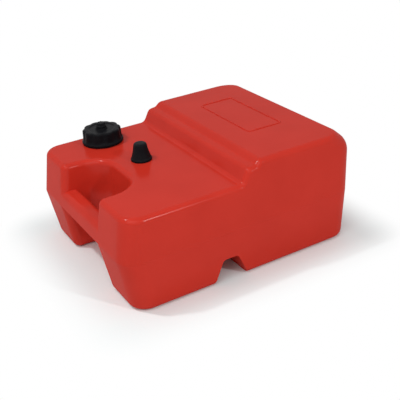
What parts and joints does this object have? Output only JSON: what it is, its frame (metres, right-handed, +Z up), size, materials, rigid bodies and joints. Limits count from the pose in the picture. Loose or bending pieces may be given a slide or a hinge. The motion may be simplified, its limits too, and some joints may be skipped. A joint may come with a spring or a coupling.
{
  "type": "outboard fuel tank",
  "caption": "Low portable outboard fuel tank with stepped decks, a moulded carrying bar in a hand bay, a vented screw cap and a covered hose fitting.",
  "frame": {"origin": "on the floor, under the middle of the tank's bounding box", "axes": "+X from the carrying bar to the rear, +Z up, +Y to the filler cap's side"},
  "size_m": [0.4451, 0.36, 0.203],
  "materials": {
    "shell_plastic": "satin moulded polyethylene, red",
    "cap_plastic": "black moulded plastic",
    "knob_plastic": "black moulded plastic",
    "stem_plastic": "black plastic",
    "baffle_plastic": "dark grey plastic",
    "adapter_plastic": "black glass-filled plastic",
    "tube_plastic": "natural plastic tube",
    "strainer_plastic": "natural plastic",
    "screen_mesh": "fine woven screen",
    "seal_rubber": "fuel-resistant rubber",
    "cover_rubber": "soft black rubber",
    "spring_steel": "stainless spring steel",
    "fitting_brass": "turned brass"
  },
  "bodies": {
    "tank": {"tank_shell": "shell_plastic", "filler_neck": "shell_plastic", "pickup_adapter": "adapter_plastic", "adapter_seal": "seal_rubber", "hose_barb": "fitting_brass", "pickup_tube": "tube_plastic", "tube_clip": "spring_steel", "strainer_cage": "strainer_plastic", "strainer_screen": "screen_mesh", "check_spring": "spring_steel"},
    "cap_seat": {"cap_gasket": "seal_rubber"},
    "cap": {"cap_body": "cap_plastic", "splash_baffle": "baffle_plastic"},
    "vent_seat": {"vent_seal": "seal_rubber"},
    "vent": {"vent_knob": "knob_plastic", "vent_stem": "stem_plastic", "vent_clip": "spring_steel"},
    "cover": {"dust_cover": "cover_rubber"},
    "poppet": {"check_poppet": "fitting_brass"}
  },
  "joints": [
    {"name": "cap_lift", "type": "slide", "parent": "tank", "child": "cap_seat", "axis": [0, 0, 1], "range_m": [0, 0.15]},
    {"name": "cap_turn", "type": "hinge", "parent": "cap_seat", "child": "cap", "pos_m": [-0.108, 0.133, 0.1795], "axis": [0, 0, 1], "range_deg": [0, 540]},
    {"name": "vent_rise", "type": "slide", "parent": "cap", "child": "vent_seat", "axis": [0, 0, 1], "range_m": [0, 0.002]},
    {"name": "vent_turn", "type": "hinge", "parent": "vent_seat", "child": "vent", "pos_m": [-0.108, 0.133, 0.1945], "axis": [0, 0, 1], "range_deg": [0, 540]},
    {"name": "cover_lift", "type": "slide", "parent": "tank", "child": "cover", "axis": [0, 0, 1], "range_m": [0, 0.1]},
    {"name": "poppet_lift", "type": "slide", "parent": "tank", "child": "poppet", "axis": [0, 0, 1], "range_m": [0, 0.002], "stiffness_N_per_m": 100, "springref_m": -0.002, "deforming": ["check_spring"]}
  ],
  "couplings": [
    {"joint": "vent_turn", "follows": "vent_rise", "rad_per_m": 4712.4}
  ]
}
